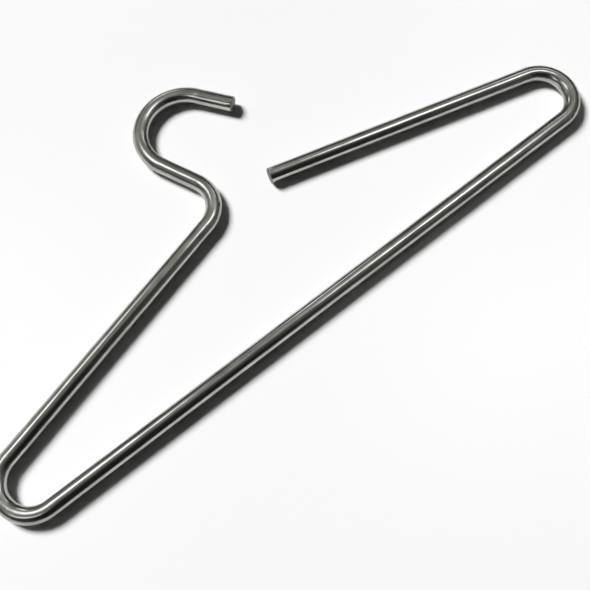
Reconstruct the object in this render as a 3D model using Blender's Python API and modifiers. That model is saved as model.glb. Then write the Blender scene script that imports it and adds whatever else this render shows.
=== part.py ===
"""Lead apron hanger, bent from one round steel rod.

The rod lies in the X Z plane with the hook at the top. The origin is the hook's seat, the point inside the
top of the hook where a rail carries it. From the hook's tip the rod runs over the hook, down the shank, round
the neck and along the left arm to the left end bend, then along the bottom bar to the right end bend, and
back up the free arm. The free arm stops short of the neck, and an apron slides on through that mouth.
"""

from math import cos, pi, radians, sin

import bpy

# Rod, in metres
ROD_DIAMETER = 0.0095
END_CHAMFER = 0.0005

# Bends, measured to the inside of the rod
HOOK_INNER_RADIUS = 0.021
NECK_INNER_RADIUS = 0.01425
LEFT_BEND_INNER_RADIUS = 0.01275
RIGHT_BEND_INNER_RADIUS = 0.0136

# Straight runs and overall sizes
HOOK_TIP_LENGTH = 0.0227
SHANK_LENGTH = 0.0245
OVERALL_WIDTH = 0.401
MOUTH_WIDTH = 0.027

# Slopes from level
HOOK_TIP_SLOPE = radians(54)
SHANK_SLOPE = radians(66.3)
ARM_SLOPE = radians(15.2)

# Facets
BEND_STEP = radians(6)
PROFILE_STEPS = 10
SHARP_EDGE_ANGLE = radians(40)
WELD_DISTANCE = 0.00001

# Steel, as its polished surface looks
STEEL_COLOUR = (0.60, 0.60, 0.58, 1)
STEEL_METALLIC = 1
STEEL_ROUGHNESS = 0.12

COLLECTION_NAME = "lead_apron_hanger"
ROD_NAME = "bent_rod"

rod_radius = ROD_DIAMETER / 2
hook_radius = HOOK_INNER_RADIUS + rod_radius
neck_radius = NECK_INNER_RADIUS + rod_radius
left_bend_radius = LEFT_BEND_INNER_RADIUS + rod_radius
right_bend_radius = RIGHT_BEND_INNER_RADIUS + rod_radius


class RodLine:
    """The rod's centre line, walked from the hook's tip. Headings turn from +X towards +Z."""

    def __init__(self, x, z, heading):
        self.x = x
        self.z = z
        self.heading = heading
        self.points = [(x, z)]

    def run(self, length):
        """A straight run."""
        self.x += length * cos(self.heading)
        self.z += length * sin(self.heading)
        self.points.append((self.x, self.z))

    def bend_to(self, heading, radius):
        """A bend of this radius to the new heading, which turns left if that heading is the larger."""
        turn = heading - self.heading
        side = 1 if turn > 0 else -1
        centre_x = self.x - side * radius * sin(self.heading)
        centre_z = self.z + side * radius * cos(self.heading)
        steps = max(1, round(abs(turn) / BEND_STEP))
        start = self.heading
        for step in range(1, steps + 1):
            self.heading = start + turn * step / steps
            self.x = centre_x + side * radius * sin(self.heading)
            self.z = centre_z - side * radius * cos(self.heading)
            self.points.append((self.x, self.z))


def clear_scene():
    for old in list(bpy.data.objects):
        bpy.data.objects.remove(old)


def rod_line():
    """The whole centre line. Both arms get the length that the overall width and the mouth leave them."""
    tip_heading = pi - HOOK_TIP_SLOPE
    shank_heading = 2 * pi - SHANK_SLOPE
    left_arm_heading = pi + ARM_SLOPE
    bar_heading = 2 * pi
    free_arm_heading = bar_heading + pi - ARM_SLOPE

    # The hook's arc is centred on the middle of the hanger, under the seat
    arc_start_x = hook_radius * sin(tip_heading)
    arc_start_z = -HOOK_INNER_RADIUS - hook_radius * cos(tip_heading)
    tip_x = arc_start_x - HOOK_TIP_LENGTH * cos(tip_heading)
    tip_z = arc_start_z - HOOK_TIP_LENGTH * sin(tip_heading)
    line = RodLine(tip_x, tip_z, tip_heading)
    line.run(HOOK_TIP_LENGTH)
    line.bend_to(shank_heading, hook_radius)
    line.run(SHANK_LENGTH)

    # The neck's outermost point faces the mouth
    neck_centre_x = line.x + neck_radius * sin(line.heading)
    neck_outside_x = neck_centre_x + neck_radius + rod_radius
    line.bend_to(left_arm_heading, neck_radius)

    left_bend_x = rod_radius + left_bend_radius - OVERALL_WIDTH / 2
    left_arm_foot_x = left_bend_x + left_bend_radius * sin(left_arm_heading)
    line.run((line.x - left_arm_foot_x) / cos(ARM_SLOPE))
    line.bend_to(bar_heading, left_bend_radius)

    right_bend_x = OVERALL_WIDTH / 2 - rod_radius - right_bend_radius
    line.run(right_bend_x - left_bend_x)
    line.bend_to(free_arm_heading, right_bend_radius)

    free_end_x = neck_outside_x + MOUTH_WIDTH + rod_radius * sin(ARM_SLOPE)
    line.run((line.x - free_end_x) / cos(ARM_SLOPE))
    return line


def steel():
    material = bpy.data.materials.new("polished_steel")
    material.use_nodes = True
    shader = material.node_tree.nodes["Principled BSDF"]
    shader.inputs["Base Color"].default_value = STEEL_COLOUR
    shader.inputs["Metallic"].default_value = STEEL_METALLIC
    shader.inputs["Roughness"].default_value = STEEL_ROUGHNESS
    material.diffuse_color = STEEL_COLOUR
    material.metallic = STEEL_METALLIC
    material.roughness = STEEL_ROUGHNESS
    return material


def bent_rod(collection):
    """The rod as a curve of round section with closed ends, whose two cut edges have a small chamfer."""
    points = rod_line().points
    curve = bpy.data.curves.new(ROD_NAME, "CURVE")
    curve.dimensions = "3D"
    curve.fill_mode = "FULL"
    curve.bevel_depth = rod_radius
    curve.bevel_resolution = PROFILE_STEPS
    curve.use_fill_caps = True
    spline = curve.splines.new("POLY")
    spline.use_smooth = True
    spline.points.add(len(points) - 1)
    for point, (x, z) in zip(spline.points, points):
        point.co = (x, 0, z, 1)
    curve.materials.append(steel())

    rod = bpy.data.objects.new(ROD_NAME, curve)
    collection.objects.link(rod)
    weld = rod.modifiers.new("join_end_faces", "WELD")
    weld.merge_threshold = WELD_DISTANCE
    chamfer = rod.modifiers.new("end_chamfers", "BEVEL")
    chamfer.width = END_CHAMFER
    chamfer.segments = 1
    chamfer.use_clamp_overlap = False
    chamfer.loop_slide = False
    chamfer.limit_method = "ANGLE"
    chamfer.angle_limit = SHARP_EDGE_ANGLE
    return rod


def main():
    clear_scene()
    collection = bpy.data.collections.new(COLLECTION_NAME)
    bpy.context.scene.collection.children.link(collection)
    bent_rod(collection)


main()
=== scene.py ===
from collections import namedtuple
from math import atan2, cos, hypot, pi, radians, sin

import bpy
from mathutils import Matrix, Vector


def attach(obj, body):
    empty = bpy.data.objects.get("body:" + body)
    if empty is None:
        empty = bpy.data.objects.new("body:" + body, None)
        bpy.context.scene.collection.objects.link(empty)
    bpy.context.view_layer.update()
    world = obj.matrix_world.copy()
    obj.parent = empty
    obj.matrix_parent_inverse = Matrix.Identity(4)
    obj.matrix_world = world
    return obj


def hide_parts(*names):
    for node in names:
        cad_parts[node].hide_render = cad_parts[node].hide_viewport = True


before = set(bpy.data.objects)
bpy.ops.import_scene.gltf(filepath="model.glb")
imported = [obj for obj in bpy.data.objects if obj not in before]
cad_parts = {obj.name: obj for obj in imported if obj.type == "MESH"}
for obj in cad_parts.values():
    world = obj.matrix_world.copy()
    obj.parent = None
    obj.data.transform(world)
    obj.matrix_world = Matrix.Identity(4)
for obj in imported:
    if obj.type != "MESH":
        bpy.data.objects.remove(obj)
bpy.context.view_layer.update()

# The hanger's rod, in metres, as its CAD source gives it. The finer mesh here follows the same line
ROD_DIAMETER = 0.0095
HOOK_INNER_RADIUS = 0.021
NECK_INNER_RADIUS = 0.01425
LEFT_BEND_INNER_RADIUS = 0.01275
RIGHT_BEND_INNER_RADIUS = 0.0136
HOOK_TIP_LENGTH = 0.0227
SHANK_LENGTH = 0.0245
OVERALL_WIDTH = 0.401
MOUTH_WIDTH = 0.027
HOOK_TIP_SLOPE = radians(54)
SHANK_SLOPE = radians(66.3)
ARM_SLOPE = radians(15.2)

# How finely the rod is meshed
SECTION_SIDES = 96
BEND_STEP = radians(1.5)
RUN_STEP = 0.004

# The skin sits this far inside the CAD rod's nominal surface, so that it stays in the CAD's box
SKIN_INSET = 0.00001

# A sawn end: a flat face, and a chamfer between two rounded edges
CHAMFER = 0.0005
EDGE_ROUND = 0.00012

# The flat face's inner rings, as shares of its radius
FACE_RING_SHARES = (0.25, 0.5, 0.75)

# Points of the edges at the face's rim and at the skin: (outwards, backwards), in shares of the rounding
FACE_EDGE_SHARES = ((-1, 0), (0, 0.15), (0.8, 0.8))
SKIN_EDGE_SHARES = ((-0.7, -0.1), (-0.15, 0.8), (0, 2))

# The marks of bending fade out this far past each bend
BEND_FADE = 0.008

rod_radius = ROD_DIAMETER / 2
skin_radius = rod_radius - SKIN_INSET
hook_radius = HOOK_INNER_RADIUS + rod_radius
neck_radius = NECK_INNER_RADIUS + rod_radius
left_bend_radius = LEFT_BEND_INNER_RADIUS + rod_radius
right_bend_radius = RIGHT_BEND_INNER_RADIUS + rod_radius

# Noises on the straightened rod: features per metre across, through and along it, and octaves of detail
DRAW_RIDGES = (900, 900, 8, 2)
DRAW_LINES = (3600, 3600, 16, 2)
STREAKS = (1300, 1300, 10, 3)
CLOUD = (240, 240, 90, 4)
BEND_GRAIN = (800, 800, 420, 2)
MARKS = (1900, 1900, 70, 1)
SAW_LINES = (5200, 260, 0, 2)
SAW_PATCHES = (600, 600, 0, 3)

# Steel seen along its surface is this much darker than Schlick's plain formula makes it
STEEL_EDGE_TINT = (0.75, 0.75, 0.75, 1)

# Polished steel, with linear colours. Its bends and small marks are rougher by these amounts
DARK_STEEL = (0.33, 0.33, 0.315, 1)
BRIGHT_STEEL = (0.65, 0.65, 0.62, 1)
POLISH_ROUGHNESS = (0.04, 0.11)
BEND_ROUGHNESS = 0.1
MARK_ROUGHNESS = 0.1

# How much of each noise goes into its tone and its haze, and the spans of these that fill the whole range
STREAK_TONE = 0.55
CLOUD_TONE = 0.45
MARK_TONE = -0.12
TONE_SPAN = (0.36, 0.62)
STREAK_HAZE = 0.4
CLOUD_HAZE = 0.6
HAZE_SPAN = (0.3, 0.7)

# Small marks are where their noise peaks
MARK_SPAN = (0.66, 0.74)

# Sawn steel, with linear colours: the lighter also paints the rim's highlight, the darker the chamfer's
# shade. Its rim is smoother by this amount
SAWN_STEEL = (0.12, 0.12, 0.114, 1)
LIGHT_SAWN_STEEL_AND_HIGHLIGHT = (0.55, 0.55, 0.53, 1)
SAWN_ROUGHNESS = (0.5, 0.66)
RIM_POLISH = 0.2

# How much of each goes into its tone, in which the rim is lighter as a painted highlight and the chamfer
# darker as painted shade
PATCH_TONE = 0.5
SAW_LINE_TONE = 0.5
RIM_HIGHLIGHT = 0.3
CHAMFER_SHADE = -0.8
SAWN_TONE_SPAN = (0.25, 0.95)
SAW_LINE_SPAN = (0.3, 0.7)

# Relief of the steel's skin, in metres from the lowest to the highest that the noise can give
RIDGE_HEIGHT = 0.00008
LINE_HEIGHT = 0.00001
GRAIN_HEIGHT = 0.00005
MARK_DEPTH = 0.000006
SAW_LINE_HEIGHT = 0.00003

# Where the photographer stood, measured by fitting the rod's edges in the photograph
CAMERA_LOCATION = (-0.09995, -0.4045, -0.27561)
CAMERA_TURN = (radians(112.704), radians(38.309), radians(2.441))
CAMERA_LENS = 48.67
SENSOR_WIDTH = 36

# The studio, in metres. The hanger lies on a white table, which is the plane just behind its rod
HANGER_MIDDLE = Vector((0, 0, -0.08))
TABLE_GAP = 0.0001
TABLE_SIZE = 12
TABLE_COLOUR = (0.95, 0.95, 0.95, 1)
TABLE_ROUGHNESS = 0.35

# The table turns from satin to matte before the dim room ends on it, so that no edge shows there
TABLE_SATIN_FADE = (0.35, 1.05)

# The lamp that lights the table and casts the shadow, and the faint light from everywhere else
KEY_DIRECTION = Vector((-0.19, -0.74, 0.65))
KEY_DISTANCE = 8
KEY_ANGLE = radians(19)
KEY_STRENGTH = 4.3
FILL_LEVEL = 0.006
WHITE = (1, 1, 1, 1)

# Lamps seen only in the steel. Across, up and roll are in degrees, and softness is a share of the size
Softbox = namedtuple("Softbox", "name across up width height roll level softness")
LAMP_DISTANCE = 1.0
SOFTBOXES = (
    Softbox("left_softbox", -19, 28, 0.40, 0.54, -49, 2.15, 0.25),
    Softbox("right_softbox", 26, -5, 0.51, 0.24, -22, 2.85, 0.25),
    Softbox("low_lamp", -42, -10, 0.42, 0.13, -28, 2.1, 0.8),
    Softbox("high_lamp", 15, 61, 0.24, 0.16, -19, 2.8, 0.8),
    Softbox("side_strip", 50, 23, 0.10, 0.26, 10, 2.6, 0.8),
    Softbox("back_high_softbox", 0, 135, 0.80, 0.40, 0, 2.2, 0.3),
    Softbox("back_left_softbox", -130, -10, 0.26, 0.60, 0, 2.0, 0.3),
    Softbox("back_right_softbox", 135, 10, 0.26, 0.60, 0, 2.0, 0.3),
)

# The dim room, also seen only in the steel. Broad patches, with angles in degrees, change its plain level
Patch = namedtuple("Patch", "across up reach change")
ROOM_RADIUS = 1.1
ROOM_SEGMENTS = 48
ROOM_RINGS = 24
ROOM_TINT = (0.985, 1, 0.93, 1)
ROOM_LEVEL = 0.27
ROOM_DARKEST = 0.02
ROOM_PATCHES = (
    Patch(37, 30, 60, 0.14),
    Patch(-20, -57, 66, -0.26),
    Patch(40, 67, 65, -0.28),
    Patch(97, -20, 68, -0.22),
    Patch(-92, 24, 57, -0.18),
    Patch(-56, 64, 30, 0.10),
    Patch(-8, 59, 34, 0.14),
    Patch(30, 12, 28, 0.14),
    Patch(0, 105, 42, -0.14),
)

# Behind the table the room brightens upwards and is shaded in the middle, by spans of a direction's Y and Z
BEHIND_FADE = (0, 0.2)
BEHIND_RISE = (-0.8, 0.8)
BEHIND_LEVELS = (0.08, 0.50)
BEHIND_MIDDLE = (0.5, 1)
BEHIND_SHADE = 0.24


class RodLine:
    """The rod's centre line, walked from the hook's tip in stations of (x, z, heading, length walked)."""

    def __init__(self, x, z, heading):
        self.x = x
        self.z = z
        self.heading = heading
        self.walked = 0
        self.stations = [(x, z, heading, 0)]
        self.bends = []

    def mark(self):
        """Keeps where the walk is now as a station."""
        self.stations.append((self.x, self.z, self.heading, self.walked))

    def run(self, length):
        """A straight run."""
        start_x = self.x
        start_z = self.z
        start_walked = self.walked
        steps = max(1, round(length / RUN_STEP))
        for step in range(1, steps + 1):
            share = step / steps
            self.x = start_x + share * length * cos(self.heading)
            self.z = start_z + share * length * sin(self.heading)
            self.walked = start_walked + share * length
            self.mark()

    def bend_to(self, heading, radius):
        """A bend of this radius to the new heading, which turns left if that heading is the larger."""
        turn = heading - self.heading
        side = 1 if turn > 0 else -1
        centre_x = self.x - side * radius * sin(self.heading)
        centre_z = self.z + side * radius * cos(self.heading)
        steps = max(1, round(abs(turn) / BEND_STEP))
        start = self.heading
        start_walked = self.walked
        for step in range(1, steps + 1):
            self.heading = start + turn * step / steps
            self.x = centre_x + side * radius * sin(self.heading)
            self.z = centre_z - side * radius * cos(self.heading)
            self.walked = start_walked + abs(turn) * radius * step / steps
            self.mark()
        self.bends.append((start_walked, self.walked))

    def strain(self, walked):
        """How much the steel here was worked by bending: 1 inside a bend, and 0 well away from one."""
        gaps = [max(start - walked, walked - end, 0) for start, end in self.bends]
        return max(0, 1 - min(gaps) / BEND_FADE)


def rod_line():
    """The whole centre line. Both arms get the length that the overall width and the mouth leave them."""
    tip_heading = pi - HOOK_TIP_SLOPE
    shank_heading = 2 * pi - SHANK_SLOPE
    left_arm_heading = pi + ARM_SLOPE
    bar_heading = 2 * pi
    free_arm_heading = bar_heading + pi - ARM_SLOPE

    # The hook's arc is centred on the middle of the hanger, under the seat
    arc_start_x = hook_radius * sin(tip_heading)
    arc_start_z = -HOOK_INNER_RADIUS - hook_radius * cos(tip_heading)
    tip_x = arc_start_x - HOOK_TIP_LENGTH * cos(tip_heading)
    tip_z = arc_start_z - HOOK_TIP_LENGTH * sin(tip_heading)
    line = RodLine(tip_x, tip_z, tip_heading)
    line.run(HOOK_TIP_LENGTH)
    line.bend_to(shank_heading, hook_radius)
    line.run(SHANK_LENGTH)

    # The neck's outermost point faces the mouth
    neck_centre_x = line.x + neck_radius * sin(line.heading)
    neck_outside_x = neck_centre_x + neck_radius + rod_radius
    line.bend_to(left_arm_heading, neck_radius)

    left_bend_x = rod_radius + left_bend_radius - OVERALL_WIDTH / 2
    left_arm_foot_x = left_bend_x + left_bend_radius * sin(left_arm_heading)
    line.run((line.x - left_arm_foot_x) / cos(ARM_SLOPE))
    line.bend_to(bar_heading, left_bend_radius)

    right_bend_x = OVERALL_WIDTH / 2 - rod_radius - right_bend_radius
    line.run(right_bend_x - left_bend_x)
    line.bend_to(free_arm_heading, right_bend_radius)

    free_end_x = neck_outside_x + MOUTH_WIDTH + rod_radius * sin(ARM_SLOPE)
    line.run((line.x - free_end_x) / cos(ARM_SLOPE))
    return line


def end_profile():
    """One sawn end from the middle of its face outwards: (radius, depth behind the face)."""
    rim = skin_radius - CHAMFER - EDGE_ROUND
    rings = [(rim * share, 0) for share in FACE_RING_SHARES]
    rings += [(rim + out * EDGE_ROUND, back * EDGE_ROUND) for out, back in FACE_EDGE_SHARES]
    rings += [(skin_radius + out * EDGE_ROUND, CHAMFER + back * EDGE_ROUND) for out, back in SKIN_EDGE_SHARES]
    return rings


def skin_rings(line):
    """Every ring of the rod's skin as (station, radius, shift along the rod)."""
    first = line.stations[0]
    last = line.stations[-1]
    profile = end_profile()
    rings = [(first, radius, depth) for radius, depth in profile]
    rings += [(station, skin_radius, 0) for station in line.stations[1:-1]]
    rings += [(last, radius, -depth) for radius, depth in reversed(profile)]
    return rings


def ring_point(station, radius, angle, shift):
    """A point round the rod, shift metres further along it than the station, and its straightened place."""
    x, z, heading, walked = station
    across = radius * cos(angle)
    depth = radius * sin(angle)
    point = (
        x - across * sin(heading) + shift * cos(heading),
        depth,
        z + across * cos(heading) + shift * sin(heading),
    )
    return point, (across, depth, walked + shift)


def skin_points(rings):
    """Each ring's points, then a hub in the middle of either end, all with their straightened places."""
    made = []
    for station, radius, shift in rings:
        for side in range(SECTION_SIDES):
            made.append(ring_point(station, radius, 2 * pi * side / SECTION_SIDES, shift))
    for station, radius, shift in (rings[0], rings[-1]):
        made.append(ring_point(station, 0, 0, shift))
    return [point for point, place in made], [place for point, place in made]


def skin_faces(ring_count):
    """Quads from each ring to the next, then a fan of triangles round the hub of either end."""
    faces = []
    last_start = (ring_count - 1) * SECTION_SIDES
    for near in range(0, last_start, SECTION_SIDES):
        far = near + SECTION_SIDES
        for side in range(SECTION_SIDES):
            after = (side + 1) % SECTION_SIDES
            faces.append((near + side, far + side, far + after, near + after))
    first_hub = ring_count * SECTION_SIDES
    for hub, start, order in ((first_hub, 0, 1), (first_hub + 1, last_start, -1)):
        for side in range(SECTION_SIDES):
            after = (side + 1) % SECTION_SIDES
            corners = (hub, start + side, start + after)
            faces.append(corners[::order])
    return faces


def give_sawn_steel(mesh, ring_count):
    """Puts the second material on both ends, out to where the chamfer's outer edge starts to round."""
    sawn_rings = len(FACE_RING_SHARES) + len(FACE_EDGE_SHARES) + 1
    last_ring = ring_count - 1
    for face in mesh.polygons:
        ring_numbers = [corner // SECTION_SIDES for corner in face.vertices]
        at_hub = max(ring_numbers) > last_ring
        at_first_end = max(ring_numbers) < sawn_rings
        at_last_end = min(ring_numbers) > last_ring - sawn_rings
        if at_hub or at_first_end or at_last_end:
            face.material_index = 1


def build_rod():
    """The rod's skin. Its straightened places carry the draw lines, and its strain the marks of bending."""
    line = rod_line()
    rings = skin_rings(line)
    points, places = skin_points(rings)
    mesh = bpy.data.meshes.new("bent_rod_skin")
    mesh.from_pydata(points, [], skin_faces(len(rings)))
    mesh.shade_smooth()
    place_data = mesh.attributes.new("rod_place", "FLOAT_VECTOR", "POINT")
    place_data.data.foreach_set("vector", [number for place in places for number in place])
    strain_data = mesh.attributes.new("rod_strain", "FLOAT", "POINT")
    strain_data.data.foreach_set("value", [line.strain(walked) for across, depth, walked in places])
    mesh.materials.append(polished_steel())
    mesh.materials.append(sawn_steel())
    give_sawn_steel(mesh, len(rings))
    mesh.update()
    rod = bpy.data.objects.new("polished_rod", mesh)
    bpy.context.scene.collection.objects.link(rod)
    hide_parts("bent_rod")
    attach(rod, "root")


class Nodes:
    """Short calls for the node tree of a material or a world."""

    def __init__(self, owner):
        owner.use_nodes = True
        self.tree = owner.node_tree
        self.tree.nodes.clear()

    def add(self, kind, **settings):
        """A new node with these settings."""
        node = self.tree.nodes.new(kind)
        for name, value in settings.items():
            setattr(node, name, value)
        return node

    def join(self, output, target):
        """A link from an output to an input."""
        self.tree.links.new(output, target)

    def show(self, shader, kind="ShaderNodeOutputMaterial"):
        """Makes a shader the one that is seen."""
        self.join(shader, self.add(kind).inputs["Surface"])

    def read(self, attribute, output):
        """An attribute of the mesh."""
        return self.add("ShaderNodeAttribute", attribute_name=attribute).outputs[output]

    def math(self, operation, first, second=0.0, clamp=False):
        """A sum or the like of two values, each an output or a plain number."""
        node = self.add("ShaderNodeMath", operation=operation, use_clamp=clamp)
        for socket, value in zip(node.inputs, (first, second)):
            if isinstance(value, (int, float)):
                socket.default_value = value
            else:
                self.join(value, socket)
        return node.outputs[0]

    def vector(self, operation, first, second=(0, 0, 0), result="Vector"):
        """The same for an output that gives vectors and one plain vector."""
        node = self.add("ShaderNodeVectorMath", operation=operation)
        self.join(first, node.inputs[0])
        node.inputs[1].default_value = second
        return node.outputs[result]

    def weigh(self, *parts):
        """The sum of values, each times its own weight."""
        total = 0.0
        for value, weight in parts:
            total = self.math("ADD", self.math("MULTIPLY", value, weight), total)
        return total

    def span(self, value, source, target=(0, 1), smooth=False):
        """The value, stretched from the source range to the target range and held at its ends."""
        node = self.add("ShaderNodeMapRange", interpolation_type="SMOOTHSTEP" if smooth else "LINEAR")
        self.join(value, node.inputs["Value"])
        node.inputs["From Min"].default_value = source[0]
        node.inputs["From Max"].default_value = source[1]
        node.inputs["To Min"].default_value = target[0]
        node.inputs["To Max"].default_value = target[1]
        return node.outputs["Result"]

    def noise(self, place, pattern):
        """Noise in one of the patterns named above."""
        across, through, along, detail = pattern
        stretch = self.add("ShaderNodeMapping")
        stretch.inputs["Scale"].default_value = (across, through, along)
        self.join(place, stretch.inputs["Vector"])
        node = self.add("ShaderNodeTexNoise")
        node.inputs["Scale"].default_value = 1
        node.inputs["Detail"].default_value = detail
        self.join(stretch.outputs["Vector"], node.inputs["Vector"])
        return node.outputs["Fac"]

    def blend(self, share, first, second):
        """The first colour where the share is 0, and the second where it is 1."""
        node = self.add("ShaderNodeMix", data_type="RGBA")
        self.join(share, node.inputs["Factor"])
        node.inputs["A"].default_value = first
        node.inputs["B"].default_value = second
        return node.outputs["Result"]

    def mix(self, share, first, second):
        """The first shader where the share is 0, and the second where it is 1."""
        node = self.add("ShaderNodeMixShader")
        self.join(share, node.inputs[0])
        self.join(first, node.inputs[1])
        self.join(second, node.inputs[2])
        return node.outputs["Shader"]

    def steel(self):
        """The shader of a metal, which is seen and still lacks its colour, roughness and relief."""
        shader = self.add("ShaderNodeBsdfPrincipled")
        shader.inputs["Metallic"].default_value = 1
        shader.inputs["Specular Tint"].default_value = STEEL_EDGE_TINT
        self.show(shader.outputs["BSDF"])
        return shader

    def glow(self, level, tint=WHITE):
        """The shader of a glowing surface. Its level is an output or a plain number."""
        shader = self.add("ShaderNodeEmission")
        shader.inputs["Color"].default_value = tint
        if isinstance(level, (int, float)):
            shader.inputs["Strength"].default_value = level
        else:
            self.join(level, shader.inputs["Strength"])
        return shader.outputs["Emission"]

    def bump(self, height, shader):
        """Relief on a shader, from a height in metres."""
        node = self.add("ShaderNodeBump")
        node.inputs["Strength"].default_value = 1
        node.inputs["Distance"].default_value = 1
        self.join(height, node.inputs["Height"])
        self.join(node.outputs["Normal"], shader.inputs["Normal"])


def polished_steel():
    """Drawn, bent and polished steel: streaks, clouds, fine lines and marks, and grain in its bends."""
    material = bpy.data.materials.new("polished_steel")
    nodes = Nodes(material)
    shader = nodes.steel()
    place = nodes.read("rod_place", "Vector")
    strain = nodes.read("rod_strain", "Fac")
    streaks = nodes.noise(place, STREAKS)
    cloud = nodes.noise(place, CLOUD)
    marks = nodes.span(nodes.noise(place, MARKS), MARK_SPAN)

    tone = nodes.weigh((streaks, STREAK_TONE), (cloud, CLOUD_TONE), (marks, MARK_TONE))
    colour = nodes.blend(nodes.span(tone, TONE_SPAN), DARK_STEEL, BRIGHT_STEEL)
    nodes.join(colour, shader.inputs["Base Color"])

    haze = nodes.weigh((streaks, STREAK_HAZE), (cloud, CLOUD_HAZE))
    polish = nodes.span(haze, HAZE_SPAN, POLISH_ROUGHNESS)
    roughness = nodes.weigh((polish, 1), (strain, BEND_ROUGHNESS), (marks, MARK_ROUGHNESS))
    nodes.join(roughness, shader.inputs["Roughness"])

    ridges = nodes.noise(place, DRAW_RIDGES)
    lines = nodes.noise(place, DRAW_LINES)
    grain = nodes.math("MULTIPLY", strain, nodes.noise(place, BEND_GRAIN))
    drawn = nodes.weigh((ridges, RIDGE_HEIGHT), (lines, LINE_HEIGHT))
    worked = nodes.weigh((grain, GRAIN_HEIGHT), (marks, -MARK_DEPTH))
    nodes.bump(nodes.math("ADD", drawn, worked), shader)
    return material


def sawn_steel():
    """The cut face: fine parallel saw lines in dull, darkened steel, a painted highlight on its rim, painted
    shade on its chamfer.
    """
    material = bpy.data.materials.new("sawn_steel")
    nodes = Nodes(material)
    shader = nodes.steel()
    place = nodes.read("rod_place", "Vector")
    saw_lines = nodes.noise(place, SAW_LINES)
    patches = nodes.noise(place, SAW_PATCHES)
    in_section = nodes.vector("MULTIPLY", place, (1, 1, 0))
    radius = nodes.vector("LENGTH", in_section, result="Value")
    face_radius = skin_radius - CHAMFER
    rim = nodes.span(radius, (face_radius - CHAMFER, face_radius), smooth=True)
    chamfer = nodes.span(radius, (face_radius, face_radius + CHAMFER / 2), smooth=True)

    face_tone = nodes.weigh((patches, PATCH_TONE), (saw_lines, SAW_LINE_TONE))
    # The rim's lighter ring is a painted highlight, and the darker chamfer is painted shade
    edge_highlight_and_shade = nodes.weigh((rim, RIM_HIGHLIGHT), (chamfer, CHAMFER_SHADE))
    tone = nodes.math("ADD", face_tone, edge_highlight_and_shade)
    colour = nodes.blend(nodes.span(tone, SAWN_TONE_SPAN), SAWN_STEEL, LIGHT_SAWN_STEEL_AND_HIGHLIGHT)
    nodes.join(colour, shader.inputs["Base Color"])

    dullness = nodes.span(saw_lines, SAW_LINE_SPAN, SAWN_ROUGHNESS)
    nodes.join(nodes.weigh((dullness, 1), (rim, -RIM_POLISH)), shader.inputs["Roughness"])
    nodes.bump(nodes.math("MULTIPLY", saw_lines, SAW_LINE_HEIGHT), shader)
    return material


def table_white():
    """White, satin near the hanger and matte far from it. From behind it is clear."""
    material = bpy.data.materials.new("table_white")
    nodes = Nodes(material)
    satin = nodes.add("ShaderNodeBsdfPrincipled")
    satin.inputs["Base Color"].default_value = TABLE_COLOUR
    satin.inputs["Roughness"].default_value = TABLE_ROUGHNESS
    matte = nodes.add("ShaderNodeBsdfDiffuse")
    matte.inputs["Color"].default_value = TABLE_COLOUR
    place = nodes.add("ShaderNodeTexCoord").outputs["Object"]
    off_middle = nodes.vector("DISTANCE", place, HANGER_MIDDLE, result="Value")
    faded = nodes.span(off_middle, TABLE_SATIN_FADE, smooth=True)
    front = nodes.mix(faded, satin.outputs["BSDF"], matte.outputs["BSDF"])

    # Light that comes through the table's back misses it from then on, so it never hides the hanger's back
    back = nodes.add("ShaderNodeBsdfTransparent").outputs["BSDF"]
    from_behind = nodes.add("ShaderNodeNewGeometry").outputs["Backfacing"]
    been_through = nodes.add("ShaderNodeLightPath").outputs["Transparent Depth"]
    missed = nodes.math("MAXIMUM", from_behind, been_through, clamp=True)
    nodes.show(nodes.mix(missed, front, back))
    return material


def add_table():
    """The table, a large plane just behind the rod."""
    half = TABLE_SIZE / 2
    y = rod_radius + TABLE_GAP
    mesh = bpy.data.meshes.new("table")
    corners = [(-half, y, -half), (half, y, -half), (half, y, half), (-half, y, half)]
    mesh.from_pydata(corners, [], [(0, 1, 2, 3)])
    mesh.materials.append(table_white())
    table = bpy.data.objects.new("table", mesh)
    bpy.context.scene.collection.objects.link(table)


def add_key():
    """A large soft lamp up to the left, far enough to light the table evenly. It casts the shadow."""
    lamp = bpy.data.lights.new("key", "SUN")
    lamp.angle = KEY_ANGLE
    lamp.energy = KEY_STRENGTH
    key = bpy.data.objects.new("key", lamp)
    key.location = HANGER_MIDDLE + KEY_DIRECTION.normalized() * KEY_DISTANCE
    key.rotation_mode = "QUATERNION"
    key.rotation_quaternion = KEY_DIRECTION.to_track_quat("Z", "Y")
    key.visible_glossy = False
    bpy.context.scene.collection.objects.link(key)


def add_world():
    """White where a camera or a mirror sees it, and a faint fill elsewhere."""
    world = bpy.data.worlds.new("studio")
    nodes = Nodes(world)
    path = nodes.add("ShaderNodeLightPath")
    seen = nodes.math("MAXIMUM", path.outputs["Is Camera Ray"], path.outputs["Is Glossy Ray"])
    seen = nodes.math("MAXIMUM", seen, path.outputs["Is Transmission Ray"])
    background = nodes.add("ShaderNodeBackground")
    background.inputs["Color"].default_value = WHITE
    nodes.join(nodes.span(seen, (0, 1), (FILL_LEVEL, 1)), background.inputs["Strength"])
    nodes.show(background.outputs["Background"], "ShaderNodeOutputWorld")
    bpy.context.scene.world = world


def aim(across, up):
    """The direction from the hanger to a spot: degrees off its front, towards +X and towards +Z."""
    off_front = radians(hypot(across, up))
    turn = atan2(up, across)
    return Vector((sin(off_front) * cos(turn), -cos(off_front), sin(off_front) * sin(turn)))


def only_in_reflections(thing):
    """Hides a thing from everything but mirrors, so that it lights nothing and casts no shadow."""
    thing.visible_camera = False
    thing.visible_diffuse = False
    thing.visible_transmission = False
    thing.visible_shadow = False


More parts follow.
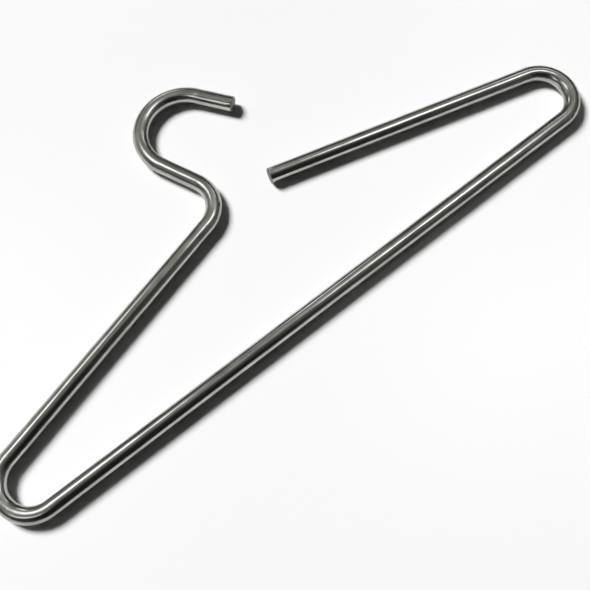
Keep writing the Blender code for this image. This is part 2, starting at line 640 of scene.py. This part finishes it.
def softbox_glow(box):
    """A softbox's cloth: even in the middle, and fading out round its edge."""
    material = bpy.data.materials.new(box.name)
    nodes = Nodes(material)
    place = nodes.add("ShaderNodeTexCoord").outputs["Object"]
    shrunk = nodes.vector("MULTIPLY", place, (2 / box.width, 2 / box.height, 1))
    off_centre = nodes.vector("LENGTH", shrunk, result="Value")
    nothing = nodes.add("ShaderNodeBsdfTransparent").outputs["BSDF"]
    faded = nodes.span(off_centre, (1 - box.softness, 1 + box.softness))
    nodes.show(nodes.mix(faded, nodes.glow(box.level), nothing))
    return material


def add_softbox(box):
    """A glowing card that faces the hanger and is seen only in its reflections. Its roll turns +X to +Z."""
    outward = aim(box.across, box.up)
    sideways = Vector((0, 0, 1)).cross(outward).normalized()
    upright = outward.cross(sideways)
    roll = radians(box.roll)
    wide = sideways * cos(roll) + upright * sin(roll)
    tall = upright * cos(roll) - sideways * sin(roll)
    x = box.width / 2 * (1 + box.softness)
    y = box.height / 2 * (1 + box.softness)
    mesh = bpy.data.meshes.new(box.name)
    mesh.from_pydata([(-x, -y, 0), (x, -y, 0), (x, y, 0), (-x, y, 0)], [], [(0, 1, 2, 3)])
    mesh.materials.append(softbox_glow(box))
    card = bpy.data.objects.new(box.name, mesh)
    turned = Matrix((wide, tall, outward)).transposed().to_4x4()
    card.matrix_world = Matrix.Translation(HANGER_MIDDLE + outward * LAMP_DISTANCE) @ turned
    bpy.context.scene.collection.objects.link(card)
    only_in_reflections(card)


def level_in_front(nodes, outward):
    """The room's brightness by direction, on the hanger's side of the table."""
    level = ROOM_LEVEL
    for patch in ROOM_PATCHES:
        nearness = nodes.vector("DOT_PRODUCT", outward, aim(patch.across, patch.up), result="Value")
        change = nodes.span(nearness, (cos(radians(patch.reach)), 1), (0, patch.change), smooth=True)
        level = nodes.math("ADD", change, level)
    return nodes.math("MAXIMUM", level, ROOM_DARKEST)


def level_behind(nodes, y, z):
    """The room's brightness by direction, behind the table."""
    level = nodes.span(z, BEHIND_RISE, BEHIND_LEVELS, smooth=True)
    shade = nodes.span(y, BEHIND_MIDDLE, (0, BEHIND_SHADE), smooth=True)
    return nodes.math("SUBTRACT", level, shade)


def room_glow():
    """The room's brightness and tint. It passes from its front to its back just behind the table."""
    material = bpy.data.materials.new("dim_room")
    nodes = Nodes(material)
    outward = nodes.vector("NORMALIZE", nodes.add("ShaderNodeTexCoord").outputs["Object"])
    apart = nodes.add("ShaderNodeSeparateXYZ")
    nodes.join(outward, apart.inputs["Vector"])
    front = level_in_front(nodes, outward)
    behind = level_behind(nodes, apart.outputs["Y"], apart.outputs["Z"])
    share = nodes.span(apart.outputs["Y"], BEHIND_FADE, smooth=True)
    lift = nodes.math("MULTIPLY", nodes.math("SUBTRACT", behind, front), share)
    nodes.show(nodes.glow(nodes.math("ADD", front, lift), ROOM_TINT))
    return material


def add_dim_room():
    """The dim room round the hanger, darkest where the photographer stands."""
    bpy.ops.mesh.primitive_uv_sphere_add(
        segments=ROOM_SEGMENTS, ring_count=ROOM_RINGS, radius=ROOM_RADIUS, location=HANGER_MIDDLE
    )
    room = bpy.context.object
    room.name = "dim_room"
    room.data.materials.append(room_glow())
    only_in_reflections(room)


def add_camera():
    """The camera, at the photographer's place."""
    camera = bpy.data.objects.new("camera", bpy.data.cameras.new("camera"))
    camera.location = CAMERA_LOCATION
    camera.rotation_euler = CAMERA_TURN
    camera.data.lens = CAMERA_LENS
    camera.data.sensor_width = SENSOR_WIDTH
    bpy.context.scene.collection.objects.link(camera)
    bpy.context.scene.camera = camera


build_rod()
add_camera()
add_table()
add_key()
add_world()
add_dim_room()
for softbox in SOFTBOXES:
    add_softbox(softbox)
bpy.context.scene.view_settings.view_transform = "Standard"
